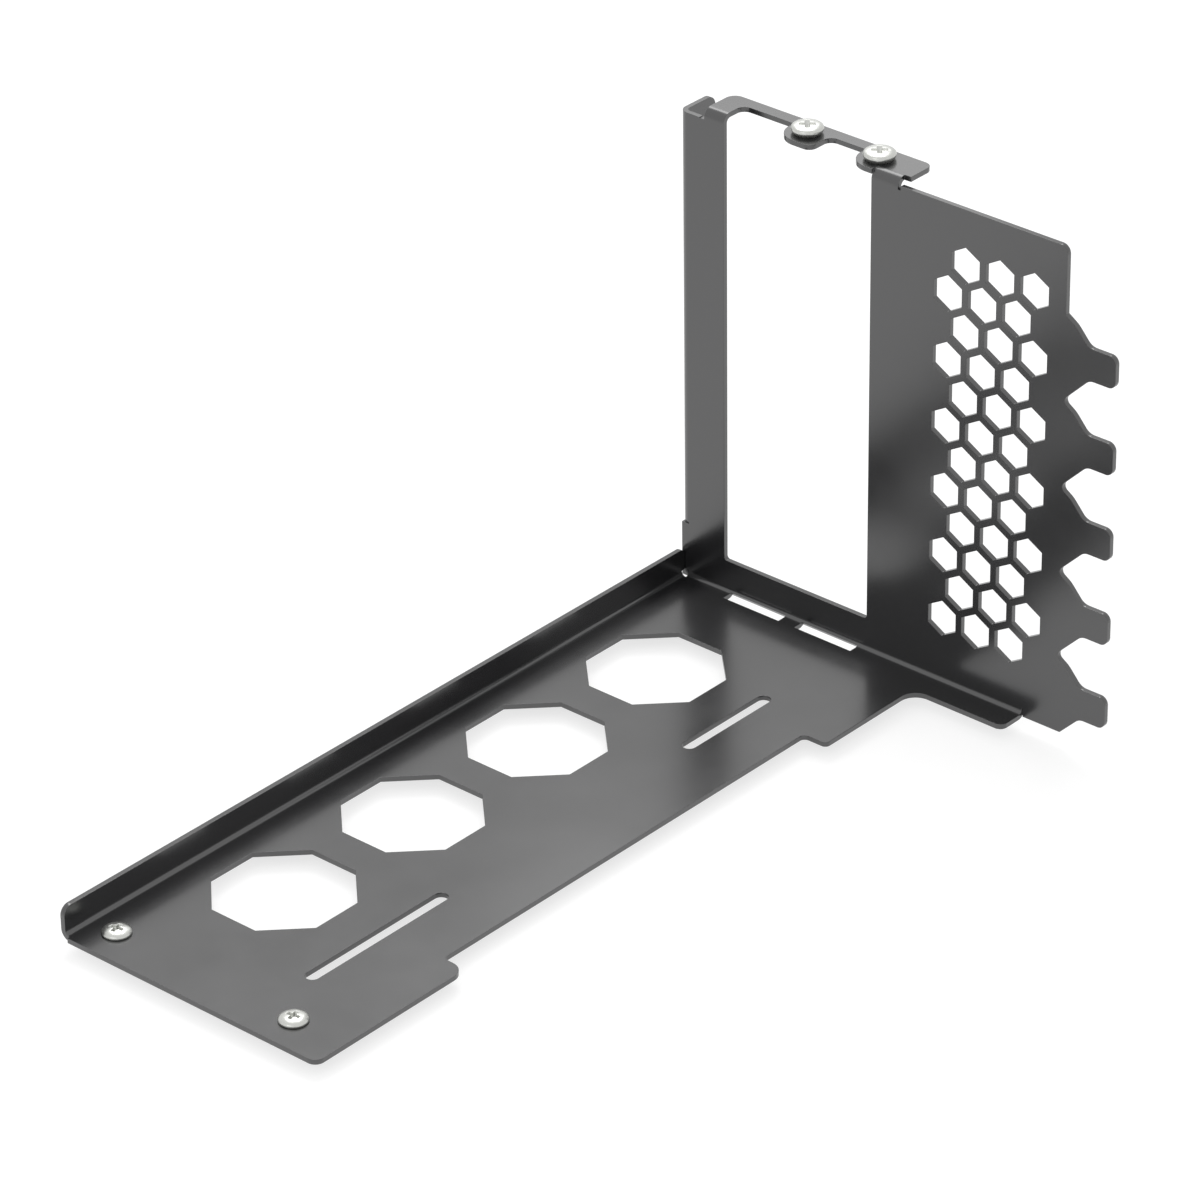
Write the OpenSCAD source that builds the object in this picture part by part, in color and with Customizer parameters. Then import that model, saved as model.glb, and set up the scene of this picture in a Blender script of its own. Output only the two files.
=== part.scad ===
// Bracket that stands a graphics card upright beside the rear panel of a
// computer case: one folded steel sheet, two screws for the card's own
// bracket and two screws for the riser board on the base.

/* [Sheet] */
// Thickness of the sheet
sheet_t = 1.2; // [0.8:0.1:2]
// Inner radius of every fold
bend_r = 1.1; // [0.8:0.1:2]
// Width of the relief cut left of the top flange
relief_w = 1.3; // [0.6:0.1:1.6]
// Width of the slit right of the top flange
slit_w = 0.7; // [0.2:0.1:1]
// Width of the slits at the ends of the base fold
base_slit_w = 0.25; // [0.15:0.05:0.6]
// How far a relief cut or a slit runs past the fold
relief_over = 0.3; // [0.2:0.1:2]

/* [Expansion slots] */
// Distance from one expansion slot to the next
slot_pitch = 20.32; // [20:0.02:21]
// Number of tongues along the right edge
tongue_n = 5; // [3:1:5]
// Middle of the card window, from the left face
card_mid_x = 32.8; // [31:0.1:36]

/* [Rear plate] */
// Left face to the right edge of the plate
plate_w = 104.6; // [100:0.2:112]
// Underside of the base to the plain top edges
plate_h = 115.6; // [112:0.2:122]
// Top of the left post below the plain top edges
post_drop = 0.8; // [0:0.1:3]
// Radius of the top right corner
plate_corner_r = 2; // [1:0.5:4]
// Width of the card window
window_w = 40.4; // [36:0.2:44]
// Height of the sill under the card window
sill_h = 8.8; // [6:0.2:14]
// Radius of the lower window corners
window_corner_r = 0.8; // [0.4:0.1:2]
// Height of the plain bottom edge right of the base
bottom_edge_z = 0.5; // [0:0.1:1.5]

/* [Tongues] */
// Height of the lowest tongue's middle
tongue_z = 9.3; // [8.8:0.1:12]
// Reach of a tongue past the plate edge
tongue_len = 13.1; // [11:0.1:15]
// Width of a tongue
tongue_w = 7.5; // [6:0.1:10]
// Radius of the tongue tip corners
tongue_tip_r = 1.8; // [0.5:0.1:2.4]
// Radius where a tongue meets its sloped root
tongue_root_r = 2.9; // [1:0.1:4]
// Reach of a tongue's upper flank past the plate edge
flank_x = 6.1; // [5.6:0.1:7]
// Top of the upper flank above the tongue's middle
flank_z = 9.4; // [9:0.1:9.6]
// Shoulder of the upper flank past the plate edge
shoulder_x = 2.6; // [2:0.1:3.2]
// Shoulder of the upper flank above the tongue's middle
shoulder_z = 7.7; // [7.4:0.1:8]
// Radius of the shoulder
shoulder_r = 6; // [2:0.5:8]
// Radius at the bottom of the notch between tongues
notch_r = 1.3; // [0.6:0.1:1.6]

/* [Honeycomb] */
// Distance between neighbouring vent holes
hex_pitch = 9.03; // [8.6:0.01:9.3]
// Width of a vent hole across its flats
hex_af = 7.4; // [6:0.1:7.8]
// Rows of vent holes
hex_rows = 12; // [6:1:12]
// Vent holes in a row
hex_cols = 3; // [2:1:4]
// Plate edge to the outermost hole centre
hex_edge = 8.3; // [6:0.1:12]
// Plain top edge to the first row's centres
hex_top = 13; // [9:0.5:14]

/* [Side flange] */
// Depth of the flange behind the plate's front face
side_depth = 10.9; // [8:0.1:13]
// Height of the flange's lower end
side_z = 14.6; // [12:0.2:18]
// Radius of the flange's free corners
side_corner_r = 2.3; // [1:0.1:3]
// Slit that parts the flange from the plate's lower corner
side_slit = 0.4; // [0.2:0.1:1]
// Plate's lower corner, set in from the left face
lower_inset = 0.3; // [0.2:0.1:1]
// Lower end of the plate's lower left corner
lower_corner_z = 0.8; // [0.6:0.1:2]
// Diameter of the case screw holes
case_hole_d = 4.2; // [3.6:0.1:5]
// Plate's front face to the case screw holes
case_hole_y = 6.2; // [5.4:0.1:7.4]

/* [Top flange] */
// Top of the flange above the plain top edges
top_rise = 1.6; // [1.2:0.1:2.1]
// Depth of the flange behind the plate's front face
top_depth = 9.8; // [8.6:0.1:11]
// Left end of the flange, from the left face
top_left = 7.2; // [6:0.1:9]
// Length of the flange
top_len = 54.6; // [52:0.2:60]
// Width of the arm across the window
arm_w = 3.2; // [2:0.1:3.4]
// Overhang of the flange's right end past its fold
top_overhang = 1.7; // [0.5:0.1:3]
// Radius of the back left corner
top_left_r = 2.5; // [1:0.5:4]
// Radius of the back right corner
top_right_r = 2; // [1:0.5:4]
// Radius of the inner corners along the arm
arm_fillet_r = 2; // [0.5:0.1:2.4]
// Radius of a screw lobe
lobe_r = 5; // [4.4:0.1:5.2]
// Radius of a lobe's squarer right corner
lobe_corner_r = 2; // [1:0.1:3]

/* [Base] */
// Plate's front face to the near edge of the base
base_len = 194; // [190:0.1:230]
// Left face to the right edge of the base
base_w = 71.6; // [70:0.1:80]
// Depth of the recess in the right edge
recess_d = 6.1; // [3:0.1:10]
// Plate's front face to the far end of the recess
recess_far = 36.4; // [34:0.2:60]
// Plate's front face to the near end of the recess
recess_near = 150.3; // [120:0.2:160]
// Radius of the corner at the near end of the recess
recess_near_r = 3.4; // [1:0.2:4]
// Radius of the other recess corners
recess_r = 1.3; // [0.5:0.1:2]
// Radius of the near right corner
near_corner_r = 2.2; // [1:0.1:4]
// Right end of the strip along the fold, from the left face
strip_w = 95.8; // [90:0.2:100]
// Depth of the strip in front of the plate
strip_d = 6.9; // [5:0.1:10]
// Radius of the strip's free corner
strip_corner_r = 1.8; // [1:0.1:3]
// Radius where the strip meets the base
strip_fillet_r = 4; // [2:0.2:6]

/* [Lip] */
// Height of the lip above the underside
lip_h = 7.6; // [5:0.1:12]
// Gap between the lip's far end and the rear plate
lip_gap = 0.15; // [0.1:0.05:1]
// Near end of the lip, set back from the near edge
lip_setback = 0.6; // [0:0.1:2]
// Radius of the lip's near corner
lip_near_r = 2.2; // [1:0.1:3]
// Radius of the lip's far corner
lip_far_r = 1.5; // [0.5:0.1:3]

/* [Cable windows] */
// Number of eight-sided windows
oct_n = 4; // [2:1:4]
// Width of a window across its flats
oct_af = 29.7; // [24:0.2:32]
// Distance between windows
oct_pitch = 38.9; // [36:0.1:40]
// Plate's front face to the first window's middle
oct_first = 35.8; // [30:0.2:38]
// Left face to the middle of the windows
oct_x = 23.3; // [22:0.1:26]

/* [Card and riser fixings] */
// Length of a slot for the end of a card's bracket
card_slot_len = 15.8; // [12:0.2:18]
// Plate's front face to the near edge of the card slots
card_slot_y = 2.9; // [2.2:0.1:4]
// Angle of the fold that the card slots cut through
card_slot_angle = 37; // [20:1:45]
// Width of the riser slots
riser_slot_w = 3.2; // [3.2:0.1:4]
// Left face to the middle of the riser slots
riser_slot_x = 49.7; // [48:0.1:54]
// Length of the rear riser slot
rear_slot_len = 27.8; // [15:0.2:32]
// Plate's front face to the middle of the rear riser slot
rear_slot_y = 43.2; // [34:0.1:50]
// Length of the front riser slot
front_slot_len = 41.3; // [20:0.1:46]
// Plate's front face to the middle of the front riser slot
front_slot_y = 152.8; // [130:0.1:156]
// Left face to the left riser screw
riser_screw_x = 8.6; // [8:0.1:12]
// Distance between the riser screws
riser_screw_gap = 49.4; // [40:0.1:52]
// Near edge to the riser screws
riser_screw_in = 7.9; // [6:0.1:12]
// Left face to the left card screw
card_screw_x = 31.5; // [31:0.1:35]
// Distance between the card screws
card_screw_gap = 19.6; // [19.2:0.1:20.4]
// Plate's front face to the card screws
card_screw_y = 5.1; // [5:0.1:5.8]

/* [Screws] */
// Thread diameter of a card screw
card_thread_d = 3.5; // [3:0.1:4]
// Length of a card screw below its head
card_shank_len = 3; // [2.4:0.1:3.1]
// Head diameter of a card screw
card_head_d = 7.4; // [7:0.1:8.6]
// Head height of a card screw
card_head_h = 2.1; // [1.6:0.1:3]
// Thread diameter of a riser screw
riser_thread_d = 3; // [2.5:0.1:3.5]
// Length of a riser screw below its head
riser_shank_len = 4; // [3:0.1:8]
// Head diameter of a riser screw
riser_head_d = 6.2; // [5.5:0.1:7]
// Head height of a riser screw
riser_head_h = 1.5; // [1.2:0.1:2.4]
// Gap around a thread in its hole
thread_gap = 0.05; // [0.02:0.01:0.1]
// Straight rim of a head, as a share of its height
rim_share = 0.55; // [0.3:0.05:0.6]
// Length of an arm of the cross recess, as a share of the head
recess_share = 0.29; // [0.2:0.01:0.34]
// Width of the cross recess
recess_w = 0.9; // [0.6:0.1:1.2]
// Depth of the cross recess
recess_cut = 0.9; // [0.6:0.1:1.2]
// Turn of the card screws' recess
card_recess_turn = 40; // [0:5:85]
// Turn of the riser screws' recess
riser_recess_turn = 10; // [0:5:85]

/* [Hidden] */
$fn = 64;
// cards side by side, with a screw each
card_n = 2;
// outer radius of a fold, and the length its flat sheets give up to it
bend_out = bend_r + sheet_t;
// a cut runs this far past the sheet
over = 1;
// a rounded corner's filling starts this far inside the corner
lap = 0.3;
back_y = sheet_t;
post_h = plate_h - post_drop;
top_z = plate_h + top_rise;
window_x0 = card_mid_x - window_w / 2;
window_x1 = card_mid_x + window_w / 2;
top_right = top_left + top_len;
top_fold_x = top_right - top_overhang;
fold_z = bend_out;
fold_y = -bend_r;
relief_z = fold_z + relief_over;
top_fold_z = top_z - bend_out;
top_relief_z = top_fold_z - relief_over;
arm_y = top_depth - arm_w;
tongue_tip_x = plate_w + tongue_len;
slope_len = (slot_pitch - tongue_w) / 2;
hex_row_h = hex_pitch * sqrt(3) / 2;
hex_r = hex_af / sqrt(3);
oct_r = oct_af / 2 / cos(22.5);
riser_screw_y = -base_len + riser_screw_in;
riser_screw_xs = [riser_screw_x, riser_screw_x + riser_screw_gap];
card_screw_xs = [for (i = [0:card_n - 1]) card_screw_x + i * card_screw_gap];
screw_low = min(0, sheet_t - riser_shank_len);
// the origin is the middle of the outline, on the lowest point
origin_x = tongue_tip_x / 2;
origin_y = (max(side_depth, top_depth) - base_len) / 2;
origin_z = screw_low;

// puts the model's own origin at the middle of its footprint
module place() {
    translate([-origin_x, -origin_y, -origin_z]) children();
}

// sliver between a corner and a circle that touches both of its edges:
// taken away it rounds a corner, added it fills one
module corner_sliver(p, a, b, r) {
    half = (b - a) / 2;
    run = r / tan(half);
    mid = r / sin(half);
    difference() {
        polygon([
            p - lap * [cos(a + half), sin(a + half)],
            p + run * [cos(a), sin(a)],
            p + mid * [cos(a + half), sin(a + half)],
            p + run * [cos(b), sin(b)]
        ]);
        translate(p + mid * [cos(a + half), sin(a + half)]) circle(r);
    }
}

// flat sheet standing in the plane of the rear plate
module standing() {
    translate([0, back_y, 0])
        rotate([90, 0, 0]) linear_extrude(sheet_t) children();
}

// quarter ring of a fold, with its flat ends on the plus sides
module fold_ring() {
    intersection() {
        difference() {
            circle(bend_out);
            circle(bend_r);
        }
        translate([-bend_out, -bend_out]) square(bend_out);
    }
}

// angle of the line from one point to another
function bearing(p, q) = atan2(q[1] - p[1], q[0] - p[0]);

// one tongue with its sloped root, its middle at the origin
module tongue_shape() {
    half = tongue_w / 2;
    top = [0, flank_z];
    shoulder = [shoulder_x, shoulder_z];
    foot = [flank_x, half];
    difference() {
        union() {
            polygon([
                [-over, flank_z],
                top,
                shoulder,
                foot,
                [tongue_len, half],
                [tongue_len, -half],
                [slope_len, -half],
                [0, -half - slope_len],
                [-over, -half - slope_len]
            ]);
            corner_sliver(foot, 0, bearing(foot, shoulder), tongue_root_r);
            corner_sliver([slope_len, -half], 225, 360, tongue_root_r);
        }
        corner_sliver(shoulder, bearing(shoulder, top), bearing(shoulder, foot) + 360, shoulder_r);
        corner_sliver([tongue_len, half], 180, 270, tongue_tip_r);
        corner_sliver([tongue_len, -half], 90, 180, tongue_tip_r);
    }
}

module tongues() {
    for (i = [0:tongue_n - 1])
        translate([plate_w, tongue_z + i * slot_pitch]) tongue_shape();
    // the notches are rounded where two flanks would meet
    fall = bearing([0, flank_z], [shoulder_x, shoulder_z]);
    gap = slot_pitch / 2 - flank_z;
    meet_x = -gap / (1 - tan(fall));
    for (i = [1:tongue_n - 1])
        translate([plate_w + meet_x, tongue_z + (i - 0.5) * slot_pitch + meet_x])
            corner_sliver([0, 0], fall, 45, notch_r);
}

module honeycomb() {
    last_x = plate_w - hex_edge;
    for (row = [0:hex_rows - 1]) {
        shift = row % 2 == 0 ? 0 : hex_pitch / 2;
        for (col = [0:hex_cols - 1])
            translate([last_x - shift - col * hex_pitch, plate_h - hex_top - row * hex_row_h])
                rotate(30) circle(hex_r, $fn = 6);
    }
}

// outline of the flat part of the rear plate, seen from the front
module plate_outline() {
    difference() {
        union() {
            translate([bend_out, relief_z])
                square([plate_w - bend_out, plate_h - relief_z]);
            translate([bend_out, fold_z])
                square([strip_w - bend_out, plate_h / 2]);
            translate([lower_inset, relief_z])
                square([bend_out, side_z - side_slit - relief_z]);
            translate([lower_inset, lower_corner_z])
                square([bend_out - base_slit_w - lower_inset, relief_z]);
            translate([strip_w + base_slit_w, bottom_edge_z])
                square([plate_w - strip_w - base_slit_w, plate_h / 2]);
            tongues();
        }
        // card window, open at the top
        difference() {
            translate([window_x0, sill_h]) square([window_w, plate_h]);
            corner_sliver([window_x0, sill_h], 0, 90, window_corner_r);
            corner_sliver([window_x1, sill_h], 90, 180, window_corner_r);
        }
        // top edge is lower on the post and where the flange folds back
        translate([0, post_h]) square([top_left, plate_h]);
        translate([top_left, top_fold_z]) square([top_fold_x - top_left, plate_h]);
        translate([top_left - relief_w, top_relief_z]) square([relief_w, plate_h]);
        translate([top_fold_x, top_relief_z]) square([slit_w, plate_h]);
        corner_sliver([plate_w, plate_h], 180, 270, plate_corner_r);
        // root of the lowest tongue ends at the plain bottom edge
        translate([0, bottom_edge_z - plate_h]) square([tongue_tip_x, plate_h]);
        honeycomb();
    }
}

module rear_plate() {
    standing() plate_outline();
}

// flange at the left edge that lies against the case's screw rail
module side_flange() {
    first_hole_z = tongue_z + slot_pitch / 2;
    difference() {
        union() {
            translate([bend_out, bend_out, side_z])
                linear_extrude(post_h - side_z) fold_ring();
            translate([sheet_t, 0, 0])
                rotate([0, -90, 0]) linear_extrude(sheet_t)
                    difference() {
                        translate([side_z, bend_out])
                            square([post_h - side_z, side_depth - bend_out]);
                        corner_sliver([post_h, side_depth], 180, 270, side_corner_r);
                        corner_sliver([side_z, side_depth], 270, 360, side_corner_r);
                    }
        }
        for (i = [0:tongue_n - 1])
            translate([-over, case_hole_y, first_hole_z + i * slot_pitch])
                rotate([0, 90, 0]) cylinder(h = sheet_t + 2 * over, d = case_hole_d);
    }
}

// one screw lobe, round on the left and squarer on the right
module lobe() {
    circle(lobe_r);
    difference() {
        translate([0, -lobe_r]) square([lobe_r, 2 * lobe_r]);
        corner_sliver([lobe_r, -lobe_r], 90, 180, lobe_corner_r);
    }
}

// outline of the flat part of the top flange, seen from above
module top_outline() {
    block_y = bend_out;
    front_y = card_screw_y - lobe_r;
    difference() {
        union() {
            translate([top_left, arm_y]) square([top_len, arm_w]);
            translate([top_left, block_y])
                square([window_x0 - top_left, top_depth - block_y]);
            translate([window_x1, block_y])
                square([top_right - window_x1, top_depth - block_y]);
            corner_sliver([window_x0, arm_y], 270, 360, arm_fillet_r);
            intersection() {
                for (x = card_screw_xs) translate([x, card_screw_y]) lobe();
                union() {
                    translate([window_x0, front_y]) square([window_x1 - window_x0, top_depth - front_y]);
                    translate([window_x0, block_y]) square([top_right - window_x0, top_depth - block_y]);
                }
            }
            for (x = card_screw_xs)
                if (x + lobe_r + arm_fillet_r < window_x1)
                    corner_sliver([x + lobe_r, arm_y], 270, 360, arm_fillet_r);
        }
        corner_sliver([top_left, top_depth], 270, 360, top_left_r);
        corner_sliver([top_right, top_depth], 180, 270, top_right_r);
        for (x = card_screw_xs)
            translate([x, card_screw_y]) circle(d = card_thread_d + 2 * thread_gap);
    }
}

module top_flange() {
    translate([0, 0, top_z - sheet_t]) linear_extrude(sheet_t) top_outline();
    left_len = window_x0 - top_left;
    right_len = top_fold_x - window_x1;
    for (part = [[top_left, left_len], [window_x1, right_len]])
        translate([part[0], bend_out, top_fold_z])
            rotate([90, 0, 90]) linear_extrude(part[1])
                mirror([0, 1]) fold_ring();
}

// outline of the flat part of the base, seen from above
module base_outline() {
    near_y = -base_len;
    inner_x = base_w - recess_d;
    difference() {
        union() {
            translate([bend_out, near_y]) square([base_w - bend_out, base_len + fold_y]);
            translate([bend_out, -strip_d]) square([strip_w - bend_out, strip_d + fold_y]);
            corner_sliver([base_w, -strip_d], 270, 360, strip_fillet_r);
        }
        corner_sliver([base_w, near_y], 90, 180, near_corner_r);
        corner_sliver([strip_w, -strip_d], 90, 180, strip_corner_r);
        difference() {
            translate([inner_x, -recess_near])
                square([recess_d + over, recess_near - recess_far]);
            corner_sliver([inner_x, -recess_near], 0, 90, recess_r);
            corner_sliver([inner_x, -recess_far], 270, 360, recess_r);
        }
        corner_sliver([base_w, -recess_near], 180, 270, recess_near_r);
        corner_sliver([base_w, -recess_far], 90, 180, recess_r);
        for (i = [0:oct_n - 1])
            translate([oct_x, -oct_first - i * oct_pitch])
                rotate(22.5) circle(oct_r, $fn = 8);
        riser_slot(rear_slot_y, rear_slot_len);
        riser_slot(front_slot_y, front_slot_len);
        for (x = riser_screw_xs)
            translate([x, riser_screw_y]) circle(d = riser_thread_d + 2 * thread_gap);
    }
}

// long slot with round ends for a riser board's screws
module riser_slot(y, len) {
    run = len - riser_slot_w;
    translate([riser_slot_x, -y]) {
        square([riser_slot_w, run], center = true);
        for (s = [-1, 1]) translate([0, s * run / 2]) circle(d = riser_slot_w);
    }
}

module base_sheet() {
    linear_extrude(sheet_t) base_outline();
}

// fold between the base and the rear plate, with the card slots cut
// through it and into the base
module base_fold() {
    translate([bend_out, fold_y, fold_z])
        rotate([90, 0, 90]) linear_extrude(strip_w - bend_out)
            mirror([1, 0]) fold_ring();
}

module card_slots() {
    reach = bend_out + over;
    for (i = [0:card_n - 1])
        translate([card_mid_x + (i - (card_n - 1) / 2) * slot_pitch - card_slot_len / 2, 0, 0])
            rotate([90, 0, 90]) linear_extrude(card_slot_len) {
                translate([-card_slot_y, -over])
                    square([card_slot_y + fold_y, sheet_t + 2 * over]);
                translate([fold_y, fold_z])
                    polygon([
                        [0, 0],
                        [0, -reach],
                        [reach * tan(card_slot_angle), -reach]
                    ]);
            }
}

// stiffening lip along the left edge of the base
module lip() {
    near_y = lip_setback - base_len;
    run = -lip_gap - near_y;
    translate([bend_out, fold_y, bend_out])
        rotate([90, 0, 0]) linear_extrude(fold_y - near_y) fold_ring();
    translate([sheet_t, 0, 0])
        rotate([0, -90, 0]) linear_extrude(sheet_t)
            difference() {
                translate([bend_out, near_y]) square([lip_h - bend_out, run]);
                corner_sliver([lip_h, near_y], 90, 180, lip_near_r);
                corner_sliver([lip_h, -lip_gap], 180, 270, lip_far_r);
            }
}

module bracket() {
    color("#4a4b4d")
        place()
            difference() {
                union() {
                    rear_plate();
                    side_flange();
                    top_flange();
                    base_sheet();
                    base_fold();
                    lip();
                }
                card_slots();
            }
}

// low domed screw with a cross recess, its seat at the origin
module screw(thread_d, shank_len, head_d, head_h) {
    rim = head_h * rim_share;
    rise = head_h - rim;
    dome_r = (head_d * head_d / 4 + rise * rise) / (2 * rise);
    difference() {
        union() {
            translate([0, 0, -shank_len]) cylinder(h = shank_len + rim, d = thread_d);
            cylinder(h = rim, d = head_d);
            intersection() {
                translate([0, 0, head_h - dome_r]) sphere(dome_r, $fn = 96);
                translate([0, 0, rim]) cylinder(h = head_h, d = head_d);
            }
        }
        for (a = [0, 90])
            rotate(a)
                translate([0, 0, head_h])
                    cube([2 * recess_share * head_d, recess_w, 2 * recess_cut], center = true);
    }
}

module card_screw(i) {
    color("#dcddde")
        place()
            translate([card_screw_xs[i], card_screw_y, top_z])
                rotate(card_recess_turn) screw(card_thread_d, card_shank_len, card_head_d, card_head_h);
}

module riser_screw(i) {
    color("#dcddde")
        place()
            translate([riser_screw_xs[i], riser_screw_y, sheet_t])
                rotate(riser_recess_turn) screw(riser_thread_d, riser_shank_len, riser_head_d, riser_head_h);
}

module card_screw_left() {
    card_screw(0);
}

module card_screw_right() {
    card_screw(1);
}

module riser_screw_left() {
    riser_screw(0);
}

module riser_screw_right() {
    riser_screw(1);
}

bracket();
card_screw_left();
card_screw_right();
riser_screw_left();
riser_screw_right();
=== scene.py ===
import math

import bmesh
import bpy
from mathutils import Euler, Matrix, Vector


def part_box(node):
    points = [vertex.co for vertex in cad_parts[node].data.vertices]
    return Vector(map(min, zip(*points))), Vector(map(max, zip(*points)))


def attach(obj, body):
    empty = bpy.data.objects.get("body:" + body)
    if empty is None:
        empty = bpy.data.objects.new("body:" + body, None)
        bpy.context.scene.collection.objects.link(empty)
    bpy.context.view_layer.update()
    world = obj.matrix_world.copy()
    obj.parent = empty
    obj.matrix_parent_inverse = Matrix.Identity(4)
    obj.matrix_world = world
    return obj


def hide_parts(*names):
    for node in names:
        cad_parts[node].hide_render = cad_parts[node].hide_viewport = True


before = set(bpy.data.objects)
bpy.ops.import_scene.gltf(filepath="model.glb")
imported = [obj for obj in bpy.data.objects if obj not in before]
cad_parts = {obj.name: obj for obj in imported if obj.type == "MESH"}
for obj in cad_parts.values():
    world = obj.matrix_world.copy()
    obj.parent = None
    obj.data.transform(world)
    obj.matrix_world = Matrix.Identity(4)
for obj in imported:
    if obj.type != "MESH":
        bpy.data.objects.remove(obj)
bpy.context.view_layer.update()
mm = 0.001
touch = 1e-7  # heights closer than this, in metres, are the same


# The photograph was taken with a long lens from the right front
view = {
    "azimuth": 41.54,
    "elevation": 29.88,
    "roll": -0.775,
    "lens": 186.96,
    "sensor": 36,
    "nearest": 0.05,
    "furthest": 30,
    "distance": 1.26694,
    "aim": (-0.00043, -0.00178, 0.05935),
}


def addCamera():
    data = bpy.data.cameras.new("camera")
    data.lens = view["lens"]
    data.sensor_width = view["sensor"]
    data.clip_start = view["nearest"]
    data.clip_end = view["furthest"]
    tilt = math.radians(90 - view["elevation"])
    turn = Euler((tilt, 0, math.radians(view["azimuth"]))).to_matrix()
    turn = turn @ Matrix.Rotation(math.radians(view["roll"]), 3, "Z")
    place = turn.to_4x4()
    place.translation = Vector(view["aim"]) + turn @ Vector((0, 0, view["distance"]))
    camera = bpy.data.objects.new("camera", data)
    camera.matrix_world = place
    bpy.context.collection.objects.link(camera)
    bpy.context.scene.camera = camera


addCamera()
print("camera placed")


# sRGB hex to the linear values that shaders take
def paint(hexCode):
    values = []
    for start in (0, 2, 4):
        part = int(hexCode[start:start + 2], 16) / 255
        values.append(part / 12.92 if part <= 0.04045 else ((part + 0.055) / 1.055) ** 2.4)
    return (*values, 1)


def grey(level):
    return (level, level, level, 1)


# One node with its settings; a tuple of node and socket name is linked
def addNode(tree, kind, settings=None, **inputs):
    node = tree.nodes.new(kind)
    for name, value in (settings or {}).items():
        setattr(node, name, value)
    for name, value in inputs.items():
        key = int(name[1:]) if name[0] == "i" and name[1:].isdigit() else name.replace("_", " ")
        socket = node.inputs[key]
        if isinstance(value, tuple) and len(value) == 2 and isinstance(value[0], bpy.types.Node):
            tree.links.new(value[0].outputs[value[1]], socket)
        else:
            socket.default_value = value
    return node


def newMaterial(name):
    material = bpy.data.materials.new(name)
    material.use_nodes = True
    tree = material.node_tree
    tree.nodes.clear()
    return material, tree


def finishMaterial(tree, shader):
    output = addNode(tree, "ShaderNodeOutputMaterial")
    tree.links.new(shader.outputs[0], output.inputs["Surface"])


noiseSpan = (0.3, 0.7)  # where nearly all of a noise texture's values lie


# Satin black powder coat, sprayed and baked: deep black under a plastic
# gloss, which a faint orange peel blurs and slow patches vary
powderCoat = {
    "colour": "171718",
    "paler": "1c1c1e",
    "roughness": (0.2, 0.25),
    "ior": 1.58,
    "specular": 1.0,
    "peel": 0.55 * mm,
    "peelHeight": 0.0025 * mm,
    "peelDetail": 2.0,
    "peelFine": 0.5,  # share of the finer noise
    "cloud": 18 * mm,
    "cloudDetail": 3.0,
    "cloudFine": 0.55,
}


def powderCoatMaterial():
    material, tree = newMaterial("satinBlackPowderCoat")
    place = addNode(tree, "ShaderNodeTexCoord")
    cloud = addNode(tree, "ShaderNodeTexNoise", Vector=(place, "Object"),
                    Scale=1 / powderCoat["cloud"], Detail=powderCoat["cloudDetail"],
                    Roughness=powderCoat["cloudFine"])
    colour = addNode(tree, "ShaderNodeMix", {"data_type": "RGBA"}, i0=(cloud, "Fac"),
                     i6=paint(powderCoat["colour"]), i7=paint(powderCoat["paler"]))
    low, high = powderCoat["roughness"]
    gloss = addNode(tree, "ShaderNodeMapRange", Value=(cloud, "Fac"), From_Min=noiseSpan[0],
                    From_Max=noiseSpan[1], To_Min=low, To_Max=high)
    peel = addNode(tree, "ShaderNodeTexNoise", Vector=(place, "Object"),
                   Scale=1 / powderCoat["peel"], Detail=powderCoat["peelDetail"],
                   Roughness=powderCoat["peelFine"])
    bump = addNode(tree, "ShaderNodeBump", Height=(peel, "Fac"), Strength=1.0,
                   Distance=powderCoat["peelHeight"])
    shader = addNode(tree, "ShaderNodeBsdfPrincipled", Base_Color=(colour, 2), Roughness=(gloss, 0),
                     Normal=(bump, 0), IOR=powderCoat["ior"], Specular_IOR_Level=powderCoat["specular"])
    finishMaterial(tree, shader)
    return material


# Bright zinc plating on a cold headed steel screw: pale metal that mirrors
# the room softly, with a fine grain over it
zinc = {
    "colour": "d2d3cf",
    "darker": "b9bab6",
    "roughness": (0.24, 0.36),
    "grain": 0.4 * mm,  # coarser than real plating, so that it shows
    "grainHeight": 0.004 * mm,
    "grainDetail": 3.0,
    "grainFine": 0.6,
}


def zincMaterial():
    material, tree = newMaterial("brightZincPlating")
    place = addNode(tree, "ShaderNodeTexCoord")
    grain = addNode(tree, "ShaderNodeTexNoise", Vector=(place, "Object"),
                    Scale=1 / zinc["grain"], Detail=zinc["grainDetail"],
                    Roughness=zinc["grainFine"])
    colour = addNode(tree, "ShaderNodeMix", {"data_type": "RGBA"}, i0=(grain, "Fac"),
                     i6=paint(zinc["colour"]), i7=paint(zinc["darker"]))
    low, high = zinc["roughness"]
    gloss = addNode(tree, "ShaderNodeMapRange", Value=(grain, "Fac"), From_Min=noiseSpan[0],
                    From_Max=noiseSpan[1], To_Min=low, To_Max=high)
    bump = addNode(tree, "ShaderNodeBump", Height=(grain, "Fac"), Strength=1.0,
                   Distance=zinc["grainHeight"])
    shader = addNode(tree, "ShaderNodeBsdfPrincipled", Base_Color=(colour, 2), Roughness=(gloss, 0),
                     Normal=(bump, 0), Metallic=1.0)
    finishMaterial(tree, shader)
    return material


blackCoat = powderCoatMaterial()
brightZinc = zincMaterial()
print("materials made")


def pickOnly(item):
    bpy.ops.object.select_all(action="DESELECT")
    item.select_set(True)
    bpy.context.view_layer.objects.active = item


def applyModifiers(item):
    pickOnly(item)
    for modifier in list(item.modifiers):
        bpy.ops.object.modifier_apply(modifier=modifier.name)


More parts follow.
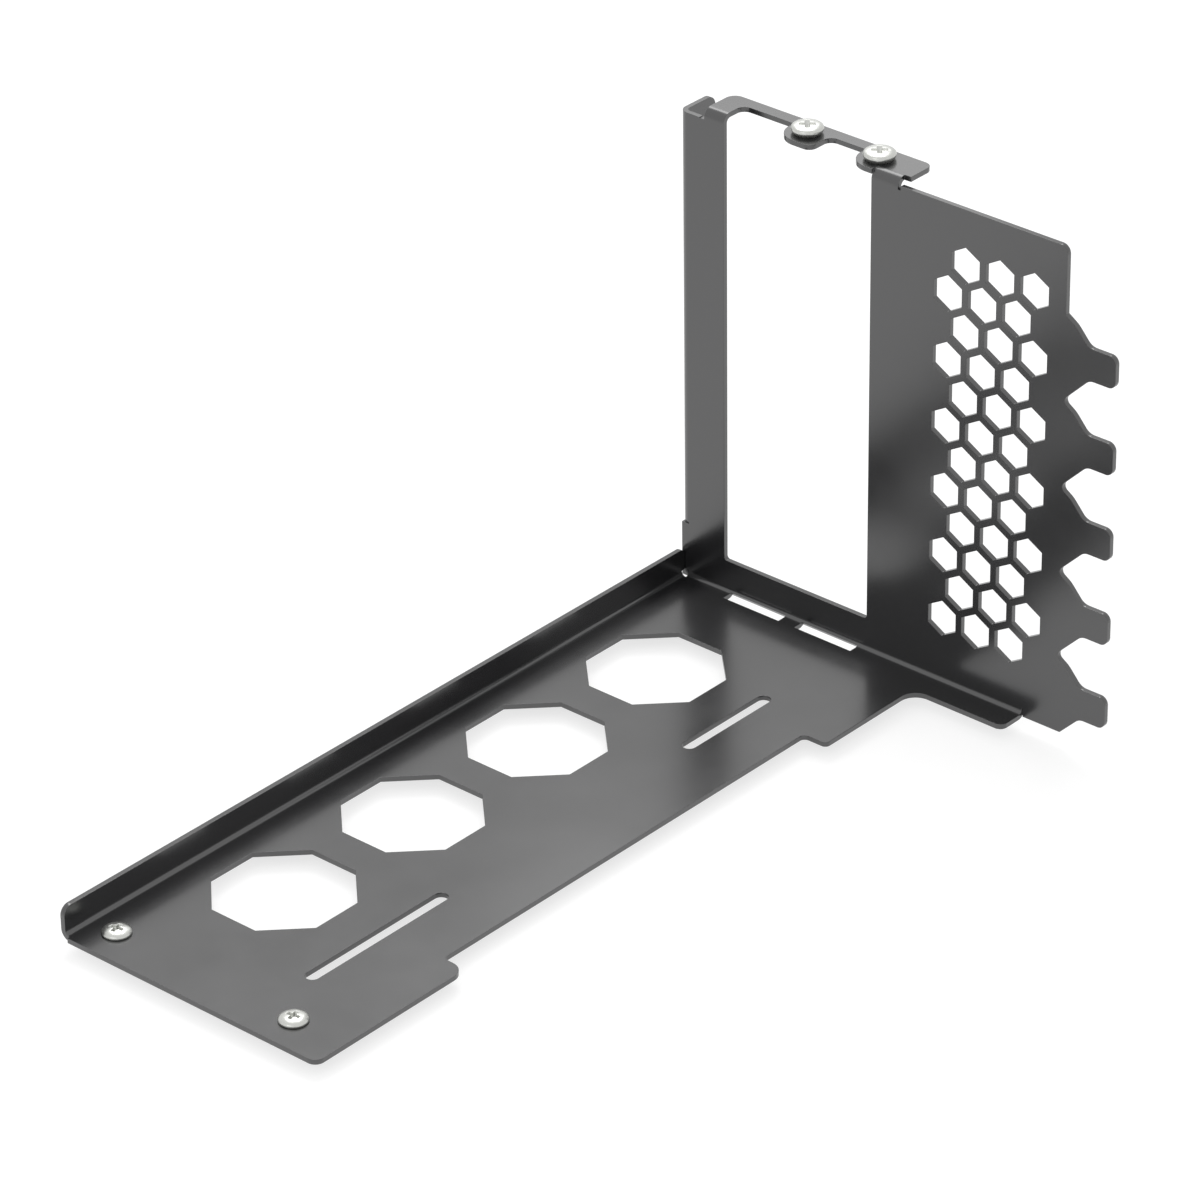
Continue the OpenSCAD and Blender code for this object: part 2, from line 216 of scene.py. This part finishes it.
# The bracket: a copy of the folded sheet, with the soft edges that a
# baked coat leaves on every cut
coatedSheet = {
    "node": "bracket",
    "edge": 0.08 * mm,  # a wider one tears the finest corners
    "edgeRows": 2,
    "merge": 0.0005 * mm,
    "flatness": 0.2,  # degrees within which faces become one
    "sharp": 35,  # degrees from which an edge is rounded
    "flatWeight": 100,
}


def coatedBracket():
    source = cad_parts[coatedSheet["node"]]
    pickOnly(source)
    bpy.ops.object.duplicate()
    piece = bpy.context.active_object
    piece.name = "coated_bracket"
    bpy.ops.object.mode_set(mode="EDIT")
    bpy.ops.mesh.select_all(action="SELECT")
    bpy.ops.mesh.remove_doubles(threshold=coatedSheet["merge"])
    bpy.ops.mesh.dissolve_limited(angle_limit=math.radians(coatedSheet["flatness"]))
    bpy.ops.object.mode_set(mode="OBJECT")
    edges = piece.modifiers.new("edges", "BEVEL")
    edges.width = coatedSheet["edge"]
    edges.segments = coatedSheet["edgeRows"]
    edges.limit_method = "ANGLE"
    edges.angle_limit = math.radians(coatedSheet["sharp"])
    edges.use_clamp_overlap = False
    applyModifiers(piece)
    bpy.ops.object.shade_smooth_by_angle(angle=math.radians(coatedSheet["sharp"]))
    flat = piece.modifiers.new("flat", "WEIGHTED_NORMAL")  # keeps the wide faces truly flat
    flat.weight = coatedSheet["flatWeight"]
    flat.keep_sharp = True
    applyModifiers(piece)
    piece.data.materials.clear()
    piece.data.materials.append(blackCoat)
    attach(piece, "root")
    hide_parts(coatedSheet["node"])
    return piece


bracket = coatedBracket()
print("bracket coated", len(bracket.data.polygons))

# A machine screw is cold headed from wire: a low domed head that draws in
# below its rim, a tapered cross recess pressed into it and a rolled thread.
# Head, shank and arm are radii. A ring is a radius as a share of the head's
# and a height over the seat as a share of the rise.
screwKinds = {
    "card_screw": {
        "nodes": ("card_screw_left", "card_screw_right"),
        "head": 3.58 * mm,
        "rise": 2.1 * mm,
        "rings": ((0.84, 0), (0.88, 0.1), (0.94, 0.24), (0.985, 0.36), (1, 0.46), (0.995, 0.6),
                  (0.965, 0.72), (0.88, 0.83), (0.7, 0.92), (0.45, 0.97), (0.15, 1)),
        "shank": 1.72 * mm,
        "reach": 3.0 * mm,
        "pitch": 0.79 * mm,
        "arm": 2.3 * mm,
        "blade": 1.4 * mm,
        "cut": 1.6 * mm,
        "turn": 40,
    },
    "riser_screw": {
        "nodes": ("riser_screw_left", "riser_screw_right"),
        "head": 3.2 * mm,
        "rise": 1.4 * mm,
        "rings": ((0.96, 0), (0.99, 0.1), (1, 0.25), (0.985, 0.4), (0.93, 0.56),
                  (0.81, 0.73), (0.62, 0.88), (0.36, 0.97), (0.15, 1)),
        "shank": 1.47 * mm,
        "reach": 4.0 * mm,
        "pitch": 0.5 * mm,
        "arm": 2.0 * mm,
        "blade": 1.15 * mm,
        "cut": 1.1 * mm,
        "turn": 10,
    },
}
screwShape = {
    "sides": 48,
    "threadDepth": 0.62,  # share of the pitch
    "threadRows": 6,  # rings in one pitch
    "bladeTaper": 0.55,  # the recess's size at its bottom, as a share
    "edge": 0.05 * mm,
    "edgeRows": 2,
    "sharp": 50,  # degrees from which an edge is rounded
    "smooth": 40,  # degrees up to which shading runs on
}


def topFaces(item, height):
    mesh = bmesh.from_edit_mesh(item.data)
    for face in mesh.faces:
        face.select_set(all(abs(v.co.z - height) < touch for v in face.verts))
    bmesh.update_edit_mesh(item.data)


# The thread runs once round the shank in each pitch, and fades at both ends
def rollThread(item, kind):
    depth = kind["pitch"] * screwShape["threadDepth"]
    for vertex in item.data.vertices:
        x, y, z = vertex.co
        if z > -touch or math.hypot(x, y) < kind["shank"] / 2:
            continue
        turns = z / kind["pitch"] - math.atan2(y, x) / math.tau
        groove = abs(2 * (turns % 1) - 1)
        fade = min(1, -z / kind["pitch"], (z + kind["reach"]) / kind["pitch"])
        factor = 1 - depth * groove * max(0, fade) / kind["shank"]
        vertex.co.x *= factor
        vertex.co.y *= factor


def cutCross(item, kind):
    for angle in (0, 90):
        bpy.ops.object.select_all(action="DESELECT")
        bpy.ops.mesh.primitive_cube_add(size=1, location=(0, 0, kind["rise"]),
                                        scale=(2 * kind["arm"], kind["blade"], 2 * kind["cut"]))
        blade = bpy.context.active_object
        bpy.ops.object.transform_apply(location=True, rotation=False, scale=True)
        bpy.ops.object.mode_set(mode="EDIT")
        bpy.ops.mesh.select_all(action="DESELECT")
        topFaces(blade, kind["rise"] - kind["cut"])
        taper = screwShape["bladeTaper"]
        bpy.ops.transform.resize(value=(taper, taper, 1), center_override=(0, 0, 0))
        bpy.ops.object.mode_set(mode="OBJECT")
        blade.rotation_euler.z = math.radians(kind["turn"] + angle)
        bpy.ops.object.transform_apply(location=False, rotation=True, scale=False)
        recess = item.modifiers.new("recess", "BOOLEAN")
        recess.operation = "DIFFERENCE"
        recess.solver = "EXACT"
        recess.object = blade
        applyModifiers(item)
        bpy.data.objects.remove(blade)


# One screw of a kind, on the origin, seat at height 0
def headedScrew(name, kind):
    rows = round(kind["reach"] / kind["pitch"] * screwShape["threadRows"])
    step = kind["reach"] / rows
    bpy.ops.object.select_all(action="DESELECT")
    bpy.ops.mesh.primitive_cylinder_add(vertices=screwShape["sides"], radius=kind["shank"],
                                        depth=step, location=(0, 0, step / 2 - kind["reach"]))
    item = bpy.context.active_object
    item.name = name
    bpy.ops.object.transform_apply(location=True, rotation=False, scale=False)
    bpy.ops.object.mode_set(mode="EDIT")
    bpy.ops.mesh.select_all(action="DESELECT")
    topFaces(item, step - kind["reach"])
    for row in range(rows - 1):
        bpy.ops.mesh.extrude_region_move(TRANSFORM_OT_translate={"value": (0, 0, step)})
    radius = kind["shank"]
    height = 0
    for share, level in kind["rings"]:
        wider = share * kind["head"]
        up = level * kind["rise"] - height
        bpy.ops.mesh.extrude_region_move(TRANSFORM_OT_translate={"value": (0, 0, up)})
        bpy.ops.transform.resize(value=(wider / radius, wider / radius, 1), center_override=(0, 0, 0))
        radius = wider
        height = level * kind["rise"]
    bpy.ops.mesh.poke()
    bpy.ops.mesh.select_all(action="SELECT")
    bpy.ops.mesh.normals_make_consistent(inside=False)
    bpy.ops.object.mode_set(mode="OBJECT")
    rollThread(item, kind)
    cutCross(item, kind)
    rounding = item.modifiers.new("rounding", "BEVEL")
    rounding.width = screwShape["edge"]
    rounding.segments = screwShape["edgeRows"]
    rounding.limit_method = "ANGLE"
    rounding.angle_limit = math.radians(screwShape["sharp"])
    applyModifiers(item)
    bpy.ops.object.shade_smooth_by_angle(angle=math.radians(screwShape["smooth"]))
    item.data.materials.clear()
    item.data.materials.append(brightZinc)
    return item


# The seat of a screw's node: its middle, as high above its lowest point as
# the shank is long
def screwSeat(name, kind):
    low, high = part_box(name)
    return Vector(((low[0] + high[0]) / 2, (low[1] + high[1]) / 2, low[2] + kind["reach"]))


def addScrews():
    for family, kind in screwKinds.items():
        screws = [headedScrew(family, kind)]
        while len(screws) < len(kind["nodes"]):
            pickOnly(screws[0])
            bpy.ops.object.duplicate()
            screws.append(bpy.context.active_object)
        for piece, name in zip(screws, kind["nodes"]):
            piece.name = "headed_" + name
            pickOnly(piece)
            piece.location = screwSeat(name, kind)
            bpy.ops.object.transform_apply(location=True, rotation=False, scale=False)
            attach(piece, "root")
            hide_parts(name)
            print(name, "headed", len(piece.data.polygons))


addScrews()


# A pale floor that shows white and keeps a faint shadow: part of its light
# is its own, the rest comes from the lamps and the world
stage = {
    "size": 8.0,
    "ownLight": 0.71,
    "litShare": 0.38,
    "worldLight": 0.78,
}


# 1 for the rays that look at the background or mirror it
def seenDirectly(tree):
    path = addNode(tree, "ShaderNodeLightPath")
    seen = addNode(tree, "ShaderNodeMath", {"operation": "MAXIMUM"}, i0=(path, "Is Camera Ray"),
                   i1=(path, "Is Glossy Ray"))
    return addNode(tree, "ShaderNodeMath", {"operation": "MAXIMUM"}, i0=(seen, 0),
                   i1=(path, "Is Transmission Ray"))


def addFloor():
    bpy.ops.object.select_all(action="DESELECT")
    bpy.ops.mesh.primitive_plane_add(size=stage["size"], location=(0, 0, 0))
    floor = bpy.context.active_object
    floor.name = "floor"
    material, tree = newMaterial("paleFloor")
    glow = addNode(tree, "ShaderNodeEmission", Color=grey(1.0), Strength=stage["ownLight"])
    lit = addNode(tree, "ShaderNodeBsdfDiffuse", Color=grey(stage["litShare"]))
    both = addNode(tree, "ShaderNodeAddShader", i0=(glow, 0), i1=(lit, 0))
    finishMaterial(tree, both)
    floor.data.materials.append(material)


def addWorld():
    world = bpy.data.worlds.new("paleStudio")
    bpy.context.scene.world = world
    world.use_nodes = True
    tree = world.node_tree
    tree.nodes.clear()
    seen = seenDirectly(tree)
    strength = addNode(tree, "ShaderNodeMapRange", Value=(seen, 0), To_Max=1.0,
                       To_Min=stage["worldLight"])
    glow = addNode(tree, "ShaderNodeBackground", Color=grey(1.0), Strength=(strength, 0))
    output = addNode(tree, "ShaderNodeOutputWorld")
    tree.links.new(glow.outputs[0], output.inputs["Surface"])


# One broad lamp behind, a weak one in front, and a small one whose light
# the top flange mirrors
lamps = {
    "backLeft": {"at": (-0.75, 0.75, 1.6), "to": (0, 0, 0), "size": (1.0, 1.0), "power": 10.6},
    "front": {"at": (0.2, -1.6, 1.3), "to": (0, 0, 0), "size": (1.0, 1.0), "power": 2.6},
    "overFlange": {"at": (-0.147, 0.22, 0.218), "to": (-0.032, 0.09, 0.118), "size": (0.12, 0.06),
                   "power": 0.0222},
}


def addLamps():
    for name, lamp in lamps.items():
        data = bpy.data.lights.new(name, "AREA")
        data.shape = "RECTANGLE"
        data.size, data.size_y = lamp["size"]
        data.energy = lamp["power"]
        item = bpy.data.objects.new(name, data)
        spot = Vector(lamp["at"])
        item.location = spot
        item.rotation_euler = (spot - Vector(lamp["to"])).to_track_quat("Z", "Y").to_euler()
        bpy.context.collection.objects.link(item)


addFloor()
addWorld()
addLamps()
bpy.context.scene.view_settings.view_transform = "Standard"
print("stage set")
